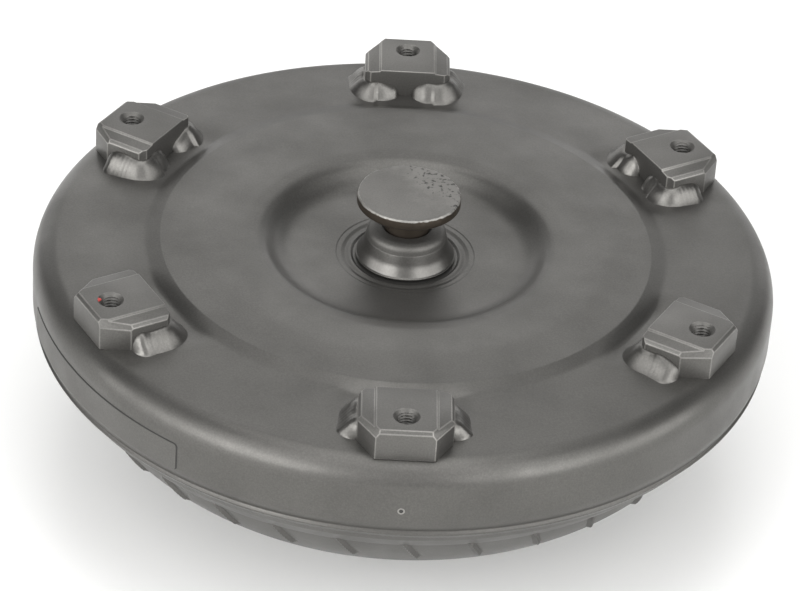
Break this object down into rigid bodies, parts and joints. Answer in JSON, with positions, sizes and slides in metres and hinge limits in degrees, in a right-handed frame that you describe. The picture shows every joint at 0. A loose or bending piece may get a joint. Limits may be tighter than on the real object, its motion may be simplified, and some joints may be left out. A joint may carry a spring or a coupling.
{
  "type": "torque converter",
  "caption": "Welded steel torque converter with a stepped pilot, bolt lugs on a domed front cover, an embossed impeller shell and a notched pump hub; turbine, stator and lock-up clutch inside.",
  "frame": {"origin": "centre of the pump hub's open end, which the part stands on", "axes": "+Z along the spin axis, from the transmission towards the engine; +X runs midway between two drive lugs and through a drive notch of the hub"},
  "size_m": [0.277, 0.277, 0.124],
  "materials": {
    "housing_steel": "satin dark grey steel, fine grain",
    "forged_steel": "satin forged and turned steel",
    "weld_metal": "bright rippled weld metal",
    "machined_steel": "turned and ground steel",
    "label_film": "blank film label under the same grey finish",
    "pressed_steel": "pressed steel sheet",
    "fastener_steel": "headed steel",
    "spring_steel": "dark spring wire",
    "friction_paper": "brown paper-based friction lining",
    "seal_polymer": "dark polymer seal ring",
    "hardened_steel": "ground hardened steel",
    "cast_aluminium": "as cast"
  },
  "bodies": {
    "housing": {"front_cover": "housing_steel", "pilot_boss": "forged_steel", "pilot_button": "forged_steel", "drive_lug_1": "forged_steel", "drive_lug_2": "forged_steel", "drive_lug_3": "forged_steel", "drive_lug_4": "forged_steel", "drive_lug_5": "forged_steel", "drive_lug_6": "forged_steel", "data_label": "label_film", "closure_weld": "weld_metal", "impeller_shell": "housing_steel", "impeller_hub": "machined_steel", "hub_weld": "weld_metal", "impeller_vanes": "pressed_steel", "cover_bearing_front_race": "hardened_steel", "hub_bearing_rear_race": "hardened_steel"},
    "turbine": {"turbine_shell": "pressed_steel", "turbine_vanes": "pressed_steel", "turbine_hub": "machined_steel", "piston_seal": "seal_polymer", "damper_driven_plate": "pressed_steel", "hub_rivet_1": "fastener_steel", "hub_rivet_2": "fastener_steel", "hub_rivet_3": "fastener_steel", "hub_rivet_4": "fastener_steel", "hub_rivet_5": "fastener_steel", "hub_rivet_6": "fastener_steel", "cover_bearing_rear_race": "hardened_steel", "stator_bearing_front_race": "hardened_steel"},
    "damper": {"damper_front_plate": "pressed_steel", "damper_rear_plate": "pressed_steel", "damper_stop_pin_1": "fastener_steel", "damper_stop_pin_2": "fastener_steel", "damper_stop_pin_3": "fastener_steel", "damper_spring_1": "spring_steel", "damper_spring_2": "spring_steel", "damper_spring_3": "spring_steel", "damper_spring_4": "spring_steel", "damper_spring_5": "spring_steel", "damper_spring_6": "spring_steel"},
    "piston": {"lockup_piston": "pressed_steel", "friction_lining": "friction_paper"},
    "stator_race": {"stator_inner_race": "hardened_steel"},
    "stator": {"stator_wheel": "cast_aluminium", "clutch_rear_plate": "pressed_steel", "clutch_front_plate": "pressed_steel", "clutch_outer_race": "hardened_steel", "clutch_roller_1": "hardened_steel", "clutch_roller_2": "hardened_steel", "clutch_roller_3": "hardened_steel", "clutch_roller_4": "hardened_steel", "clutch_roller_5": "hardened_steel", "clutch_roller_6": "hardened_steel", "stator_bearing_rear_race": "hardened_steel", "hub_bearing_front_race": "hardened_steel"},
    "cover_bearing": {"cover_bearing_cage": "pressed_steel"},
    "stator_bearing": {"stator_bearing_cage": "pressed_steel"},
    "hub_bearing": {"hub_bearing_cage": "pressed_steel"}
  },
  "joints": [
    {"name": "turbine_spin", "type": "hinge", "parent": "housing", "child": "turbine", "pos_m": [0, 0, 0.08], "axis": [0, 0, 1], "continuous": true},
    {"name": "damper_twist", "type": "hinge", "parent": "turbine", "child": "damper", "pos_m": [0, 0, 0.087], "axis": [0, 0, 1], "range_deg": [0, 7], "stiffness_Nm_per_rad": 900, "deforming": ["damper_spring_1", "damper_spring_2", "damper_spring_3", "damper_spring_4", "damper_spring_5", "damper_spring_6"]},
    {"name": "piston_slide", "type": "slide", "parent": "damper", "child": "piston", "axis": [0, 0, 1], "range_m": [0, 0.0009]},
    {"name": "stator_race_spin", "type": "hinge", "parent": "housing", "child": "stator_race", "pos_m": [0, 0, 0.06], "axis": [0, 0, 1], "continuous": true},
    {"name": "stator_freewheel", "type": "hinge", "parent": "stator_race", "child": "stator", "pos_m": [0, 0, 0.06], "axis": [0, 0, 1], "continuous": true},
    {"name": "cover_bearing_spin", "type": "hinge", "parent": "housing", "child": "cover_bearing", "pos_m": [0, 0, 0.0898], "axis": [0, 0, 1], "continuous": true},
    {"name": "stator_bearing_spin", "type": "hinge", "parent": "turbine", "child": "stator_bearing", "pos_m": [0, 0, 0.0696], "axis": [0, 0, 1], "continuous": true},
    {"name": "hub_bearing_spin", "type": "hinge", "parent": "housing", "child": "hub_bearing", "pos_m": [0, 0, 0.0494], "axis": [0, 0, 1], "continuous": true}
  ],
  "couplings": [
    {"joint": "cover_bearing_spin", "follows": "turbine_spin", "ratio": 0.5},
    {"joint": "stator_bearing_spin", "follows": "turbine_spin", "ratio": -0.5},
    {"joint": "hub_bearing_spin", "follows": "stator_freewheel", "ratio": 0.5}
  ]
}
